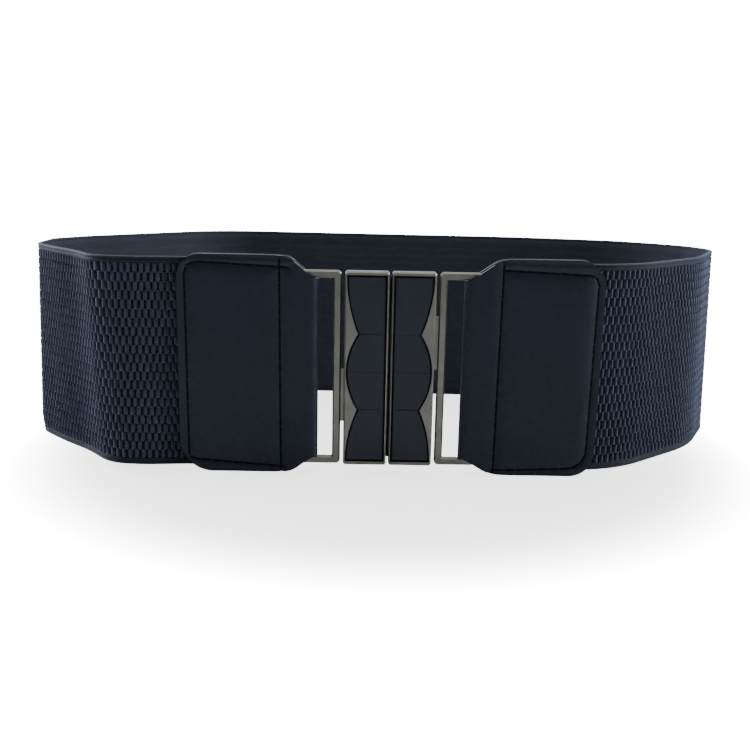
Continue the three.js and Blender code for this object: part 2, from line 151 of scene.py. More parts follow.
world = bpy.data.worlds.new("studio")
bpy.context.scene.world = world
world.use_nodes = True
sky = world.node_tree
room = sky.nodes["Background"]
facing = sky.nodes.new("ShaderNodeTexCoord")
parts = sky.nodes.new("ShaderNodeSeparateXYZ")
sky.links.new(facing.outputs["Generated"], parts.inputs[0])
sky.links.new(spread(sky, parts.outputs["Y"], 0.05, 1.3, 0.0, 0.6), room.inputs["Strength"])
room.inputs["Color"].default_value = (0.82, 0.89, 1, 1)
white_wall = sky.nodes.new("ShaderNodeBackground")
white_wall.inputs["Color"].default_value = (1, 1, 1, 1)
white_wall.inputs["Strength"].default_value = wall_white
seen = sky.nodes.new("ShaderNodeLightPath")
either = sky.nodes.new("ShaderNodeMixShader")
sky.links.new(seen.outputs["Is Camera Ray"], either.inputs[0])
sky.links.new(room.outputs[0], either.inputs[1])
sky.links.new(white_wall.outputs[0], either.inputs[2])
sky.links.new(either.outputs[0], sky.nodes["World Output"].inputs["Surface"])


def soft_light(name, place, aim, width, height, power, colour=(1, 1, 1)):
    """A rectangular area light that faces the point aimed at."""
    turned = (Vector(aim) - Vector(place)).to_track_quat("-Z", "Y").to_euler()
    bpy.ops.object.light_add(type="AREA", location=place, rotation=turned)
    light = bpy.context.object
    light.name = name
    light.data.shape = "RECTANGLE"
    light.data.size = width
    light.data.size_y = height
    light.data.energy = power
    light.data.color = colour


soft_light("left_softbox", (-1.1, 0.32, 0.5), (0, 0, 0.04), 0.9, 0.8, 21.5, daylight)
soft_light("right_softbox", (1.1, -0.15, 0.5), (0, 0, 0.04), 0.6, 0.8, 16.5, daylight)
soft_light("top_softbox", (0, -0.1, 1.2), (0, 0, 0), 1.4, 1.0, 7)

# The elastic band
# A woven elastic strip, three inches wide. Covered rubber threads run along it, and short upright
# floats of navy yarn cross its outer face like bricks, between two smooth corded selvedges.

mm = 0.001
band_width = 75 * mm
stand_width = 270.8 * mm
stand_depth = 121 * mm
tab_height = 78.2 * mm
end_lean = 2.8 * mm
lean_start = 0.66
band_rise = 2.2 * mm
crease_lean = 4.2 * mm
crease_reach = 20 * mm
crease_swell = 1.5 * mm
swell_past = 12 * mm
swell_reach = 12 * mm
crease_dip = 1.5 * mm
dip_before = 11 * mm
dip_reach = 8 * mm
toe_in = 1.6 * mm
toe_height = 10 * mm
fold_edge = 25.1 * mm
band_from_buckle = 40.4 * mm
line_steps = 32

loop_low, loop_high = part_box("left_loop")[0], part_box("right_loop")[1]
buckle_place = Vector(((loop_low.x + loop_high.x) / 2, loop_low.y))

# Corners of the standing line: share of half the width, share of the depth, bend radius
plan_corners = {
    "crease": (-0.736, 0, 0.12),
    "left front": (-1.002, 0.338, 0.116),
    "left end": (-1, 0.52, 0.116),
    "left back": (-0.923, 0.64, 0.248),
    "back left": (-0.567, 1.001, 0.372),
    "back middle": (0.429, 0.949, 0.99),
    "back right": (0.814, 0.855, 0.58),
    "right back": (0.952, 0.684, 0.132),
    "right end": (1.001, 0.562, 0.165),
    "right front": (0.878, 0.273, 0.496),
    "front right": (0.61, 0, 0.33),
}


def draw_standing_line():
    """The band's outer face seen from above, from the clasp round by the left and back to it.
    Gives the curve and its length."""
    corners = [Vector((along * stand_width / 2, back * stand_depth))
               for along, back, bend in plan_corners.values()]
    stops = [Vector((0, 0)), *corners, Vector((0, 0))]
    sides = [after - before for before, after in zip(stops, stops[1:])]
    turns = [before.angle(after) for before, after in zip(sides, sides[1:])]
    reaches = [bend * stand_depth * math.tan(turn / 2)
               for (along, back, bend), turn in zip(plan_corners.values(), turns)]
    room = [min(1, side.length / (before + after))
            for side, before, after in zip(sides, [0, *reaches], [*reaches, 0])]
    knots = [stops[0]]
    pulls = []
    length = 0
    for i, corner in enumerate(corners):
        reach = reaches[i] * min(room[i], room[i + 1])
        radius = reach / math.tan(turns[i] / 2)
        bend_start = corner - sides[i].normalized() * reach
        bend_end = corner + sides[i + 1].normalized() * reach
        pull = 4 / 3 * math.tan(turns[i] / 4) * radius
        pulls += [(bend_start - knots[-1]).length / 3, pull]
        length += (bend_start - knots[-1]).length + radius * turns[i]
        knots += [bend_start, bend_end]
    length += knots[-1].length
    pulls.append(knots[-1].length / 3)
    knots.append(stops[-1])

    bpy.ops.curve.primitive_bezier_curve_add()
    line = bpy.context.object
    line.name = "standing_line"
    line.matrix_world = Matrix.Identity(4)
    line.data.dimensions = "2D"
    line.data.resolution_u = line_steps
    points = line.data.splines[0].bezier_points
    points.add(len(knots) - len(points))
    ways = [side.normalized() for side in sides for _ in range(2)]
    for i, (point, knot) in enumerate(zip(points, knots)):
        way = ways[i]
        point.handle_left_type = point.handle_right_type = "FREE"
        before = pulls[i - 1] if i > 0 else pulls[0]
        after = pulls[i] if i < len(pulls) else pulls[-1]
        point.co = (*(knot + buckle_place), 0)
        point.handle_left = (*(knot + buckle_place - way * before), 0)
        point.handle_right = (*(knot + buckle_place + way * after), 0)
    return line, length


bpy.ops.object.select_all(action="DESELECT")
standing_line, line_length = draw_standing_line()


def use_modifier(piece, kind, **settings):
    """Adds one modifier to a piece and applies it."""
    bpy.ops.object.select_all(action="DESELECT")
    bpy.context.view_layer.objects.active = piece
    piece.select_set(True)
    modifier = piece.modifiers.new(kind.lower(), kind)
    for setting, value in settings.items():
        setattr(modifier, setting, value)
    bpy.ops.object.modifier_apply(modifier=modifier.name)


def clamped(value):
    """A value kept between 0 and 1."""
    return min(max(value, 0), 1)


def near_crease(x, y):
    """How near a place on the front of the loop is to the crease by the left tab."""
    crease = plan_corners["crease"][0] * stand_width / 2
    if y > stand_depth / 2:
        return 0
    reach = stand_width / 2 + crease if x < crease else crease_reach
    return clamped(1 - abs(x - crease) / reach)


def stand_up(piece, lifted):
    """Bends a piece that lies along X round the standing line. Its lower edge leans out at the
    ends, its crease leans along, and what is sewn into the tabs is lifted off the floor."""
    use_modifier(piece, "CURVE", object=standing_line, deform_axis="POS_X")
    for corner in piece.data.vertices:
        x, y = corner.co.x - buckle_place.x, corner.co.y - buckle_place.y
        if lifted:
            corner.co.z += band_rise * clamped(1 - y / stand_depth)
        up = corner.co.z / tab_height
        near_end = clamped((abs(x) / (stand_width / 2) - lean_start) / (1 - lean_start))
        corner.co.x += math.copysign(end_lean * near_end * (1 - up), x)
        corner.co.x -= crease_lean * near_crease(x, y) * up
        if y < stand_depth / 2:
            past = x - plan_corners["crease"][0] * stand_width / 2
            corner.co.y -= crease_swell * math.exp(-((past - swell_past) / swell_reach) ** 2)
            corner.co.y += crease_dip * math.exp(-((past + dip_before) / dip_reach) ** 2)
        if x < 0:
            corner.co.x += toe_in * near_end * clamped(1 - corner.co.z / toe_height) ** 2


def apply_place(piece):
    """Puts a piece's place, turn and scale into its mesh."""
    bpy.ops.object.select_all(action="DESELECT")
    bpy.context.view_layer.objects.active = piece
    piece.select_set(True)
    bpy.ops.object.transform_apply(location=True, rotation=True, scale=True)


def edit(piece):
    """Opens a piece in edit mode with nothing selected, and gives its form."""
    bpy.ops.object.select_all(action="DESELECT")
    bpy.context.view_layer.objects.active = piece
    piece.select_set(True)
    bpy.ops.object.mode_set(mode="EDIT")
    bpy.ops.mesh.select_all(action="DESELECT")
    return bmesh.from_edit_mesh(piece.data)


def close_edit():
    """Turns all faces outwards and leaves edit mode."""
    bpy.ops.mesh.select_all(action="SELECT")
    bpy.ops.mesh.normals_make_consistent(inside=False)
    bpy.ops.object.mode_set(mode="OBJECT")


ground_inner = -2 * mm
ground_outer = -1.3 * mm
inner_rib = 0.12 * mm
inner_below = -1.42 * mm
rib_back = 0.05 * mm
edge_turn = 0.3 * mm
ground_cuts = (99, 2)
float_pitch = 2.3 * mm
float_row = 3.2 * mm
float_rows = 22
floats_from = (band_width - float_rows * float_row) / 2

# The woven ground with its selvedges: rows of height, inner side and outer side
selvedge_rows = [
    (0.0, -1.55, -0.45), (0.12, -1.72, -0.27), (0.35, -1.8, -0.2), (0.75, -1.8, -0.2),
    (0.95, -1.72, -0.33), (1.1, -1.66, -0.5), (1.22, -1.72, -0.36), (1.4, -1.8, -0.24),
    (1.8, -1.85, -0.24), (2.05, -1.92, -0.36), (2.25, -2.0, -0.55),
]
ground_rows = [(height * mm, inner * mm, outer * mm) for height, inner, outer in selvedge_rows]
for row in range(float_rows):
    foot = floats_from + row * float_row
    ground_rows += [(foot + 0.25 * float_row, ground_inner, ground_outer),
                    (foot + 0.75 * float_row, ground_inner, ground_outer),
                    (foot + float_row - rib_back, ground_inner + inner_rib, ground_outer)]
ground_rows.pop()
ground_rows += [(band_width - height * mm, inner * mm, outer * mm)
                for height, inner, outer in reversed(selvedge_rows)]

bpy.ops.object.select_all(action="DESELECT")
bpy.ops.mesh.primitive_plane_add(size=1)
ground = bpy.context.object
ground.name = "elastic_ground"
ground.scale = (line_length - 2 * band_from_buckle, 1 * mm, 1)
ground.location = (line_length / 2, -1 * mm, 0)
apply_place(ground)
form = edit(ground)
for corner in form.verts:
    corner.co.y = ground_rows[0][2] if corner.co.y > inner_below else ground_rows[0][1]
bpy.ops.mesh.select_all(action="SELECT")
for (low, *_), (height, inner, outer) in zip(ground_rows, ground_rows[1:]):
    bpy.ops.mesh.extrude_region_move(TRANSFORM_OT_translate={"value": (0, 0, height - low)})
    form = bmesh.from_edit_mesh(ground.data)
    for corner in form.verts:
        if corner.select:
            corner.co.y = outer if corner.co.y > inner_below else inner
for cuts in ground_cuts:
    bpy.ops.mesh.select_all(action="DESELECT")
    form = bmesh.from_edit_mesh(ground.data)
    for edge in form.edges:
        edge.select = abs(edge.verts[0].co.x - edge.verts[1].co.x) > float_pitch / 2
    bpy.ops.mesh.subdivide(number_cuts=cuts)
close_edit()
ground_slots = ("navy_ground", "inner_weave", "selvedge_painted_highlight")
# The top faces get a lighter finish, a painted highlight where the light from above falls on the
# edge.
for face in ground.data.polygons:
    if face.center.z > band_width - edge_turn:
        face.material_index = ground_slots.index("selvedge_painted_highlight")
    elif face.center.y < inner_below:
        face.material_index = ground_slots.index("inner_weave")
stand_up(ground, lifted=True)
bpy.ops.object.shade_smooth()

# One float, a short flat cord that dives into the ground at both ends
side_reach = 54 * mm
float_wide = 1.25 * mm
float_tall = 3.7 * mm
float_deep = 1.5 * mm
float_dive = 0.75 * mm
float_corner = 0.5 * mm
float_round = 0.52 * mm
drift_size = 2.5 * mm
drift_reach = 0.3 * mm


def weave_floats(name, first, last, short):
    """The floats of one stretch of the band, in rows that are shifted by half a pitch in turn.
    The shifted rows end short by the given count of floats."""
    columns = round((last - first) / float_pitch)
    halves = []
    for half in range(2):
        bpy.ops.object.select_all(action="DESELECT")
        bpy.ops.mesh.primitive_cube_add(size=1)
        one = bpy.context.object
        middle = floats_from + float_row * (0.5 + half)
        one.scale = (float_wide, float_deep, float_tall)
        one.location = (first + float_pitch * (0.5 + 0.5 * half), -float_deep / 2, middle)
        apply_place(one)
        form = edit(one)
        for edge in form.edges:
            edge.select = abs(edge.verts[0].co.y - edge.verts[1].co.y) > float_deep / 2
        bpy.ops.mesh.bevel(offset=float_corner, segments=1, affect="EDGES")
        form = bmesh.from_edit_mesh(one.data)
        for edge in form.edges:
            edge.select = all(corner.co.y > -float_deep / 2 for corner in edge.verts)
        bpy.ops.mesh.bevel(offset=float_round, segments=2, affect="EDGES")
        form = bmesh.from_edit_mesh(one.data)
        for corner in form.verts:
            if corner.co.y > -float_deep / 2:
                towards_end = abs(corner.co.z - middle) / (float_tall / 2)
                corner.co.y -= float_dive * towards_end ** 2
        close_edit()
        bpy.ops.object.shade_smooth()
        use_modifier(one, "ARRAY", count=columns - half * short, use_relative_offset=False,
                     use_constant_offset=True, constant_offset_displace=(float_pitch, 0, 0))
        use_modifier(one, "ARRAY", count=float_rows // 2, use_relative_offset=False,
                     use_constant_offset=True,
                     constant_offset_displace=(0, 0, 2 * float_row))
        halves.append(one)
    for one in halves:
        one.select_set(True)
    bpy.context.view_layer.objects.active = halves[0]
    bpy.ops.object.join()
    piece = bpy.context.object
    piece.name = name
    for corner in piece.data.vertices:
        past = corner.co.x + plan_corners["crease"][0] * stand_width / 2
        reach = crease_reach if past < 0 else side_reach
        corner.co.x -= crease_lean * clamped(1 - abs(past) / reach) * corner.co.z / tab_height
    use_modifier(piece, "DISPLACE", texture=yarn_drift, strength=drift_reach, mid_level=0.5,
                 texture_coords="LOCAL", direction="X")
    stand_up(piece, lifted=True)
    bpy.ops.object.shade_smooth()
    return piece


yarn_drift = bpy.data.textures.new("yarn_drift", "CLOUDS")
yarn_drift.noise_scale = drift_size
left_columns = round((line_length / 2 - band_from_buckle) / float_pitch)
band_middle = band_from_buckle + float_pitch * left_columns
left_floats = weave_floats("elastic_floats_left", band_from_buckle, band_middle, 0)
right_floats = weave_floats("elastic_floats_right", band_middle, line_length - band_from_buckle, 1)


def tinted(tree, share, first, second):
    """Two colours mixed by a texture's value."""
    node = tree.nodes.new("ShaderNodeMix")
    node.data_type = "RGBA"
    node.inputs["A"].default_value = (*first, 1)
    node.inputs["B"].default_value = (*second, 1)
    tree.links.new(share, node.inputs["Factor"])
    return node.outputs["Result"]


def two_tone(tree, shader, pattern, first, second):
    """A colour that varies with a pattern between two tones."""
    colour = tinted(tree, spread(tree, pattern.outputs["Fac"], 0, 1), first, second)
    tree.links.new(colour, shader.inputs["Base Color"])


def raised(tree, shader, height, depth):
    """Relief from a texture's value, with its depth in metres."""
    node = tree.nodes.new("ShaderNodeBump")
    node.inputs["Strength"].default_value = 1
    node.inputs["Distance"].default_value = depth
    tree.links.new(height, node.inputs["Height"])
    tree.links.new(node.outputs["Normal"], shader.inputs["Normal"])


navy_yarn, tree, shader = new_finish("navy_yarn", (0.020, 0.025, 0.042), 0.6)
strands = object_pattern(tree, "ShaderNodeTexNoise", (1, 1, 0.12), Scale=5200.0, Detail=3.0)
patches = object_pattern(tree, "ShaderNodeTexNoise", (1, 1, 0.7), Scale=330.0, Detail=2.0)
two_tone(tree, shader, patches, (0.0135, 0.017, 0.032), (0.027, 0.034, 0.055))
uneven_gloss(tree, shader, patches, 0.5, 0.68)
raised(tree, shader, strands.outputs["Fac"], 0.12 * mm)
shader.inputs["Specular IOR Level"].default_value = 0.35
shader.inputs["Sheen Weight"].default_value = 0.55
shader.inputs["Sheen Roughness"].default_value = 0.45
shader.inputs["Sheen Tint"].default_value = (0.6, 0.7, 1, 1)

# Painted shade: the ground is coloured darker than the floats, standing in for the shadow in the
# deep gaps between them.
navy_ground, tree, shader = new_finish("navy_ground", (0.010, 0.012, 0.020), 0.8)
weft = object_pattern(tree, "ShaderNodeTexNoise", (1, 1, 4), Scale=900.0, Detail=4.0)
patches = object_pattern(tree, "ShaderNodeTexNoise", (1, 1, 1), Scale=60.0, Detail=3.0)
two_tone(tree, shader, patches, (0.004, 0.005, 0.009), (0.007, 0.009, 0.015))
uneven_gloss(tree, shader, weft, 0.62, 0.85)
raised(tree, shader, weft.outputs["Fac"], 0.25 * mm)
shader.inputs["Specular IOR Level"].default_value = 0.3
shader.inputs["Sheen Weight"].default_value = 0.1
shader.inputs["Sheen Tint"].default_value = (0.6, 0.7, 1, 1)

inner_weave, tree, shader = new_finish("inner_weave", (0.038, 0.045, 0.065), 0.85)
ribs = object_pattern(tree, "ShaderNodeTexNoise", (0.12, 0.12, 1), Scale=900.0, Detail=3.0)
two_tone(tree, shader, ribs, (0.040, 0.045, 0.057), (0.047, 0.053, 0.067))
raised(tree, shader, ribs.outputs["Fac"], 0.1 * mm)
shader.inputs["Specular IOR Level"].default_value = 0.1

# Painted highlight: the band's top edge is coloured lighter than the ground, standing in for the
# light falling on it.
selvedge_painted_highlight, tree, shader = new_finish("selvedge_painted_highlight", (0.07, 0.078, 0.095), 0.5)
selvedge_highlight_mottle = object_pattern(tree, "ShaderNodeTexNoise", (1, 1, 1), Scale=1500.0, Detail=2.0)
two_tone(tree, shader, selvedge_highlight_mottle, (0.035, 0.040, 0.054), (0.065, 0.073, 0.095))
shader.inputs["Specular IOR Level"].default_value = 0.1

for finish in (navy_ground, inner_weave, selvedge_painted_highlight):
    ground.data.materials.append(finish)
for piece in (left_floats, right_floats):
    piece.data.materials.clear()
    piece.data.materials.append(navy_yarn)
for piece in (ground, left_floats, right_floats):
    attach(piece, "root")
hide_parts("elastic_band")

# The leather tabs
# Smooth black-blue leather, one strip each, folded round a loop with the band's end between its
# flaps. The cut edges are painted, a little lighter as a painted highlight, and black thread sews
# it round the edge and beside the fold; painted shade darkens the leather along each seam.

leather_thick = 1.3 * mm
tab_end = 74.1 * mm
left_cut = {"corner top": 8 * mm, "corner low": 12.5 * mm, "slant": 8.4 * mm, "slid": 0}
right_cut = {"corner top": 9.5 * mm, "corner low": 9.5 * mm, "slant": 10.4 * mm, "slid": 0.5 * mm}
corner_room = 12.5 * mm
slant_round = 0.22
slant_hollow = 0.12
pinch_low = 3.2 * mm
pinch_top = 2 * mm
sewn_gap = 0.4 * mm
flap_offset = 1.95 * mm
band_centre = -1 * mm
fold_centre = fold_edge + flap_offset + leather_thick / 2
window_middle = 38.4 * mm
fold_half = 32 * mm
top_cut = tab_height - (window_middle + fold_half)
low_cut = window_middle - fold_half
edge_band = 7.2 * mm
edge_step = 0.5 * mm
middle_step = 2.4 * mm
end_columns = 17
seams_from, seams_to = 41.6 * mm, 34.4 * mm
wide_step, seam_step, slant_step = 1.8 * mm, 0.45 * mm, 0.6 * mm
fold_steps = 18
edge_round = 0.62 * mm
puff_share = 0.35
puff_wide = 3

# Each seam's corners: distance from the clasp and height, and how round the corner is
left_seams = {
    "by the fold": [(38.7, 77.0, 0), (38.2, 1.3, 0)],
    "round the edge": [(35.2, 74.3, 0), (71.4, 76.0, 5.5), (71.0, 5.0, 3), (36.8, 2.2, 0)],
}
right_seams = {
    "by the fold": [(38.4, 76.6, 0), (37.9, 1.3, 0)],
    "round the edge": [(38.2, 74.6, 0), (71.6, 73.2, 4), (71.2, 3.3, 8), (36.9, 2.0, 0)],
}
groove_deep = 0.42 * mm
groove_wide = 0.8 * mm
stitch_pitch = 4 * mm
stitch_long = 3.4 * mm
stitch_thick = 0.85 * mm
stitch_sunk = 0.1 * mm
stitch_tip_inset, stitch_tip_long = 0.16 * mm, 0.22 * mm
stitch_soft = 0.1 * mm
seam_shadow = 0.75 * mm
seam_sample = 0.8 * mm
corner_steps = 8


def seam_points(corners, step):
    """Points along a seam with its corners rounded, evenly spaced, each with the seam's way."""
    path = [Vector(corners[0][:2]) * mm]
    for before, (along, high, bend), after in zip(corners, corners[1:], corners[2:]):
        here = Vector((along, high)) * mm
        back = (Vector(before[:2]) * mm - here).normalized() * bend * mm
        on = (Vector(after[:2]) * mm - here).normalized() * bend * mm
        for k in range(corner_steps + 1):
            t = k / corner_steps
            path.append(here + back * (1 - t) ** 2 + on * t ** 2)
    path.append(Vector(corners[-1][:2]) * mm)
    points = []
    travelled = 0
    wanted = step / 2
    for start, end in zip(path, path[1:]):
        side = (end - start).length
        way = (end - start).normalized()
        while side > 0 and wanted <= travelled + side:
            points.append((start.lerp(end, (wanted - travelled) / side), way))
            wanted += step
        travelled += side
    return points


def to_seam(along, high, paths):
    """The distance of a place on a flap from the nearest seam."""
    here = Vector((along, high))
    nearest = 1.0
    for path in paths:
        for start, end in zip(path, path[1:]):
            side = end - start
            t = clamped((here - start).dot(side) / side.length_squared)
            nearest = min(nearest, (here - start - side * t).length)
    return nearest


def cut_back(distance, turn, fold_cut, corner, slant):
    """How much the strip is cut back: round at its end, slanted towards the fold."""
    to_end = tab_end - distance
    if to_end < corner:
        return corner - math.sqrt(corner ** 2 - (corner - to_end) ** 2)
    turned = min(turn, math.pi - turn)
    up = 1 - (distance - fold_centre + flap_offset * (math.pi / 6 - turned)) / slant
    started = (up + math.hypot(up, slant_round)) / 2
    over = started - 1
    return fold_cut * (started - (over + math.hypot(over, slant_hollow)) / 2)


def flap_depth(distance, high, paths):
    """How far a flap's middle lies off the band's middle: close at the sewn edges and the seams,
    with the leather between the seams slightly puffed."""
    free = flap_offset - leather_thick / 2 - sewn_gap / 2
    at_edge = max(clamped(1 - high / pinch_low), clamped(1 - (tab_height - high) / pinch_top))
    at_edge = at_edge * at_edge * (3 - 2 * at_edge)
    seam = to_seam(distance, high, paths)
    groove = groove_deep * math.exp(-(seam / groove_wide) ** 2)
    beside = free * puff_share * math.exp(-(seam / (puff_wide * groove_wide)) ** 2) * (1 - at_edge)
    return flap_offset - free * at_edge - groove - beside


def steps_between(start, end, step):
    """Even steps from a start up to, and not with, an end."""
    count = max(1, round(abs(end - start) / step))
    return [start + (end - start) * k / count for k in range(count)]


def flap_stations():
    """Distances of the mesh's columns along a flap, close together at the end and the seams."""
    near = [tab_end - corner_room * (1 - math.cos(k / end_columns * math.pi / 2))
            for k in range(end_columns)]
    wide = steps_between(tab_end - corner_room, seams_from, wide_step)
    seam = steps_between(seams_from, seams_to, seam_step)
    slant = steps_between(seams_to, fold_centre, slant_step)
    return near + wide + seam + slant


def fold_tab(name, mirror, seams, cut):
    """A grid laid as the leather runs: front flap, round the bar, back flap."""
    paths = []
    for corners in seams.values():
        paths.append([place for place, way in seam_points(corners, seam_sample)])
    flap = [(distance, 0.0) for distance in flap_stations()]
    fold = [(fold_centre, math.pi * k / fold_steps) for k in range(fold_steps + 1)]
    stations = flap + fold + [(distance, math.pi) for distance, turn in reversed(flap)]
    edge_rows = steps_between(0, edge_band, edge_step)
    middle_rows = steps_between(edge_band, tab_height - edge_band, middle_step)
    rows = (edge_rows + middle_rows + [tab_height - edge_band]
            + [tab_height - high for high in reversed(edge_rows)])
    bpy.ops.object.select_all(action="DESELECT")
    bpy.ops.mesh.primitive_grid_add(x_subdivisions=len(stations) - 1,
                                    y_subdivisions=len(rows) - 1, size=1)
    piece = bpy.context.object
    piece.name = name
    piece.data.materials.append(leather)
    piece.data.materials.append(edge_paint_and_highlight)
    # Painted shade: how near each point lies to a seam, used to darken the leather along the
    # stitch grooves.
    shade = piece.data.attributes.new("seam_shade", "FLOAT", "POINT")
    for corner in piece.data.vertices:
        column = round((corner.co.x + 0.5) * (len(stations) - 1))
        row = round((corner.co.y + 0.5) * (len(rows) - 1))
        distance, turn = stations[column]
        bottom = cut_back(distance, turn, low_cut, cut["corner low"], cut["slant"])
        top = tab_height - cut_back(distance, turn, top_cut, cut["corner top"], cut["slant"])
        high = rows[row]
        if high < edge_band:
            squeezed = bottom + high
        elif high > tab_height - edge_band:
            squeezed = top - (tab_height - high)
        else:
            share = (high - edge_band) / (tab_height - 2 * edge_band)
            squeezed = (bottom + edge_band) * (1 - share) + (top - edge_band) * share
        reach = flap_depth(distance, squeezed, paths)
        along = distance - reach * math.sin(turn) + cut["slid"]
        shade.data[corner.index].value = math.exp(-(to_seam(distance, squeezed, paths)
                                                    / seam_shadow) ** 2)
        corner.co = (line_length - along if mirror else along,
                     band_centre + reach * math.cos(turn), squeezed)
    use_modifier(piece, "SOLIDIFY", thickness=leather_thick, offset=0, use_even_offset=True,
                 material_offset_rim=1)
    use_modifier(piece, "BEVEL", width=edge_round, segments=3, limit_method="ANGLE",
                 angle_limit=math.radians(60), material=1)
    edit(piece)
    close_edit()
    stand_up(piece, lifted=False)
    bpy.ops.object.shade_smooth_by_angle(angle=math.radians(50))
    return piece, paths


def sew_tab(name, mirror, seams, paths, cut):
    """Short thread stitches, sunk end to end along the grooves on both flaps."""
    bpy.ops.object.select_all(action="DESELECT")
    bpy.ops.mesh.primitive_cylinder_add(vertices=8, radius=stitch_thick / 2,
                                        depth=stitch_long, rotation=(0, math.pi / 2, 0))
    one = bpy.context.object
    apply_place(one)
    form = edit(one)
    for face in form.faces:
        face.select = abs(face.normal.x) > 0.9
    bpy.ops.mesh.inset(thickness=stitch_tip_inset, depth=stitch_tip_long)
    close_edit()
    use_modifier(one, "BEVEL", width=stitch_soft, segments=1, limit_method="ANGLE",
                 angle_limit=math.radians(40))
    stitches = []
    for corners in seams.values():
        for place, way in seam_points(corners, stitch_pitch):
            for side in (1, -1):
                reach = flap_depth(place.x, place.y, paths) + leather_thick / 2 - stitch_sunk
                along = place.x + cut["slid"]
                along = line_length - along if mirror else along
                lean = math.atan2(way.y, -way.x if mirror else way.x)
                stitch = bpy.data.objects.new(name, one.data.copy())
                bpy.context.collection.objects.link(stitch)
                spot = Matrix.Translation((along, band_centre + side * reach, place.y))
                stitch.matrix_world = spot @ Matrix.Rotation(-lean, 4, "Y")
                stitches.append(stitch)
    bpy.data.objects.remove(one)
    bpy.ops.object.select_all(action="DESELECT")
    for stitch in stitches:
        stitch.select_set(True)
    bpy.context.view_layer.objects.active = stitches[0]
    bpy.ops.object.join()
    piece = bpy.context.object
    piece.name = name
    apply_place(piece)
    stand_up(piece, lifted=False)
    bpy.ops.object.shade_smooth_by_angle(angle=math.radians(50))
    return piece


leather, tree, shader = new_finish("leather", (0.012, 0.015, 0.025), 0.45)
grain = object_pattern(tree, "ShaderNodeTexVoronoi", (1, 1, 1), Scale=1500.0)
pores = object_pattern(tree, "ShaderNodeTexNoise", (1, 1, 1), Scale=700.0, Detail=4.0)
clouds = object_pattern(tree, "ShaderNodeTexNoise", (1, 1, 1), Scale=45.0, Detail=3.0)
colour = tinted(tree, spread(tree, clouds.outputs["Fac"], 0, 1), (0.0075, 0.010, 0.020),
                (0.011, 0.014, 0.025))
# Painted shade: the leather is darkened towards each seam by the seam_shade attribute, standing in
# for the shadow in the stitch groove.
seam_shade = tree.nodes.new("ShaderNodeAttribute")
seam_shade.attribute_name = "seam_shade"
seam_painted_shade = tree.nodes.new("ShaderNodeMix")
seam_painted_shade.data_type = "RGBA"
seam_painted_shade.inputs["B"].default_value = (0.006, 0.008, 0.015, 1)
tree.links.new(seam_shade.outputs["Fac"], seam_painted_shade.inputs["Factor"])
tree.links.new(colour, seam_painted_shade.inputs["A"])
tree.links.new(seam_painted_shade.outputs["Result"], shader.inputs["Base Color"])
uneven_gloss(tree, shader, pores, 0.40, 0.56)
mixed = tree.nodes.new("ShaderNodeMath")
mixed.operation = "ADD"
tree.links.new(grain.outputs["Distance"], mixed.inputs[0])
tree.links.new(pores.outputs["Fac"], mixed.inputs[1])
raised(tree, shader, mixed.outputs[0], 0.06 * mm)
shader.inputs["Specular IOR Level"].default_value = 0.28

# Edge paint, coloured lighter than the leather partly as a painted highlight for the glint along
# the rounded edges.
edge_paint_and_highlight, tree, shader = new_finish("edge_paint_and_highlight", (0.022, 0.025, 0.034), 0.3)
uneven = object_pattern(tree, "ShaderNodeTexNoise", (1, 1, 1), Scale=900.0, Detail=2.0)
uneven_gloss(tree, shader, uneven, 0.2, 0.34)
raised(tree, shader, uneven.outputs["Fac"], 0.08 * mm)
shader.inputs["Specular IOR Level"].default_value = 0.5

thread, tree, shader = new_finish("thread", (0.003, 0.003, 0.005), 0.9)
shader.inputs["Specular IOR Level"].default_value = 0.02
twist = object_pattern(tree, "ShaderNodeTexNoise", (1, 1, 1), Scale=4500.0, Detail=1.0)
two_tone(tree, shader, twist, (0.003, 0.004, 0.007), (0.008, 0.010, 0.016))
raised(tree, shader, twist.outputs["Fac"], 0.1 * mm)

for side, seams, cut in (("left", left_seams, left_cut), ("right", right_seams, right_cut)):
    tab, paths = fold_tab(f"{side}_tab_leather", side == "right", seams, cut)
    stitching = sew_tab(f"{side}_tab_stitches", side == "right", seams, paths, cut)
    stitching.data.materials.append(thread)
    for piece in (tab, stitching):
        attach(piece, "root")
    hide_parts(f"{side}_tab")

# The buckle's metal
# The loops and plates are cast and plated a warm gunmetal grey, faintly clouded where the plating
# has been rubbed. The hinge pins are plain steel, and the hook behind is steel strip coloured near
# black as painted shade for the gap.

gunmetal, tree, shader = new_finish("gunmetal", (0.115, 0.112, 0.098), 0.3, 1.0)
rubbed = object_pattern(tree, "ShaderNodeTexNoise", (1, 1, 1), Scale=120.0, Detail=5.0)
fine = object_pattern(tree, "ShaderNodeTexNoise", (1, 1, 0.1), Scale=2500.0, Detail=2.0)
two_tone(tree, shader, rubbed, (0.175, 0.168, 0.140), (0.225, 0.215, 0.178))
uneven_gloss(tree, shader, fine, 0.28, 0.40)

plain_steel, tree, shader = new_finish("plain_steel", (0.09, 0.088, 0.08), 0.4, 1.0)
drawn = object_pattern(tree, "ShaderNodeTexNoise", (1, 1, 0.05), Scale=1800.0, Detail=3.0)
uneven_gloss(tree, shader, drawn, 0.32, 0.48)

for name in ("left_loop", "right_loop", "left_plate", "right_plate"):
    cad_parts[name].material_slots[0].material = gunmetal
for name in ("left_hinge_pin", "right_hinge_pin"):
    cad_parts[name].material_slots[0].material = plain_steel

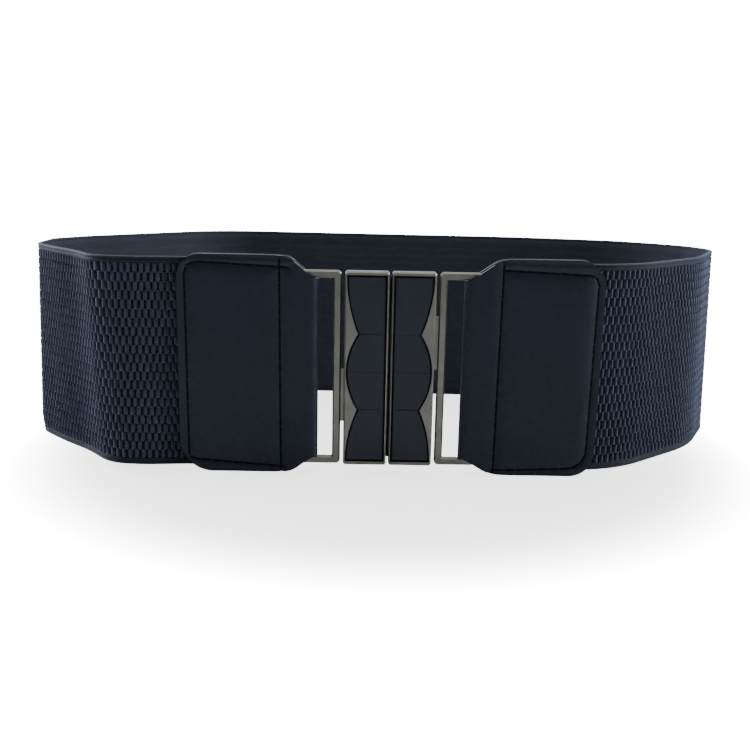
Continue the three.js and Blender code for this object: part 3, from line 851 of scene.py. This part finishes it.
# Painted shade: the hook is coloured near black so the narrow gap between the plates looks as dark
# as its shadow.
hook_shade_finish, tree, shader = new_finish("hook_painted_shade", (0.012, 0.012, 0.012), 0.5, 0.6)
drawn = object_pattern(tree, "ShaderNodeTexNoise", (1, 1, 0.05), Scale=1800.0, Detail=3.0)
uneven_gloss(tree, shader, drawn, 0.4, 0.6)
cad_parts["clasp_hook"].material_slots[0].material = hook_shade_finish

# The inlays
# Thin scalloped plates, enamelled a satin blue-black and scored across at the cusps and in the
# middle. Each sits in its tray on a black bed, a little larger than the plate, which shows as a
# fine black line round it.

enamel, tree, shader = new_finish("enamel", (0.014, 0.018, 0.028), 0.38)
settled = object_pattern(tree, "ShaderNodeTexNoise", (1, 1, 1), Scale=90.0, Detail=3.0)
two_tone(tree, shader, settled, (0.011, 0.014, 0.021), (0.016, 0.019, 0.027))
uneven_gloss(tree, shader, settled, 0.34, 0.44)
shader.inputs["Specular IOR Level"].default_value = 0.35

# A near-black bed under each inlay, a little larger than it, showing as a dark line round it.
black_bed_finish, tree, shader = new_finish("black_bed", (0.002, 0.002, 0.003), 0.6)
shader.inputs["Specular IOR Level"].default_value = 0.1
bed_gloss_noise = object_pattern(tree, "ShaderNodeTexNoise", (1, 1, 1), Scale=400.0, Detail=2.0)
uneven_gloss(tree, shader, bed_gloss_noise, 0.5, 0.75)

inlay_low, inlay_high = 5.1 * mm, 71.7 * mm
inlay_inner, inlay_outer = 1.45 * mm, 14.85 * mm
face_inset = 0.22 * mm
straight_inset = 0.1 * mm
inlay_front, inlay_back, bed_back = 1.15 * mm, 0.6 * mm, 0.5 * mm
cusp_depth = 4.1 * mm
cusp_middle = 37.7 * mm
cusp_half_span = 13.6 * mm
score_half = 0.2 * mm
score_deep = 0.2 * mm
edge_slope = 0.12 * mm
slope_width = 1.2 * mm
face_round = 0.18 * mm
bed_past = 0.36 * mm
bed_clear = 0.02 * mm
plate_columns = 3
arc_rows = 12


def scallop(high, grown):
    """The wavy edge's distance from the clasp's middle at a height."""
    low, top = inlay_low - grown, inlay_high + grown
    from_middle = abs(high - cusp_middle)
    if from_middle < cusp_half_span:
        chord, off = cusp_half_span, from_middle
    elif high < cusp_middle:
        chord, off = cusp_middle - cusp_half_span - low, high - low
    else:
        chord, off = top - cusp_middle - cusp_half_span, top - high
    radius = (chord ** 2 + cusp_depth ** 2) / (2 * cusp_depth)
    return inlay_outer + grown - radius + math.sqrt(max(radius ** 2 - off ** 2, 0))


def cut_plate(side, grown, front, back, scored):
    """A thin plate of the scalloped outline, with or without its three score lines."""
    stops = [inlay_low - grown, cusp_middle - cusp_half_span, cusp_middle,
             cusp_middle + cusp_half_span, inlay_high + grown]
    rows = []
    for low, high in zip(stops, stops[1:]):
        rows += [low + (high - low) * k / arc_rows for k in range(arc_rows)]
    rows.append(stops[-1])
    if scored:
        for stop in stops[1:4]:
            rows += [stop - score_half, stop + score_half]
    rows.sort()
    bpy.ops.object.select_all(action="DESELECT")
    bpy.ops.mesh.primitive_grid_add(x_subdivisions=plate_columns, y_subdivisions=len(rows) - 1,
                                    size=1)
    piece = bpy.context.object
    for corner in piece.data.vertices:
        column = round((corner.co.x + 0.5) * plate_columns)
        high = rows[round((corner.co.y + 0.5) * (len(rows) - 1))]
        inner = inlay_inner - grown + (straight_inset if scored else 0)
        along = (inner, inner + slope_width, inner + slope_width + score_half,
                 scallop(high, grown))[column]
        depth = front
        if scored and high in stops[1:4] and column > 1:
            depth -= score_deep
        if scored and column == 0:
            depth -= edge_slope
        corner.co = (buckle_place.x + side * along, buckle_place.y - depth, high)
    edit(piece)
    bpy.ops.mesh.select_all(action="SELECT")
    bpy.ops.mesh.extrude_region_move(TRANSFORM_OT_translate={"value": (0, front - back, 0)})
    close_edit()
    if scored:
        use_modifier(piece, "BEVEL", width=face_round, segments=2, limit_method="ANGLE",
                     angle_limit=math.radians(70))
    return piece


for side_name, side in (("left", -1), ("right", 1)):
    face = cut_plate(side, -face_inset, inlay_front, inlay_back, True)
    bed = cut_plate(side, bed_past, inlay_back - bed_clear, bed_back, False)
    face.data.materials.append(enamel)
    bed.data.materials.append(black_bed_finish)
    bpy.ops.object.select_all(action="DESELECT")
    bed.select_set(True)
    face.select_set(True)
    bpy.context.view_layer.objects.active = face
    bpy.ops.object.join()
    face.name = f"{side_name}_inlay_face"
    bpy.ops.object.shade_smooth_by_angle(angle=math.radians(20))
    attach(face, "root")
    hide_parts(f"{side_name}_inlay")

bpy.data.objects.remove(standing_line)
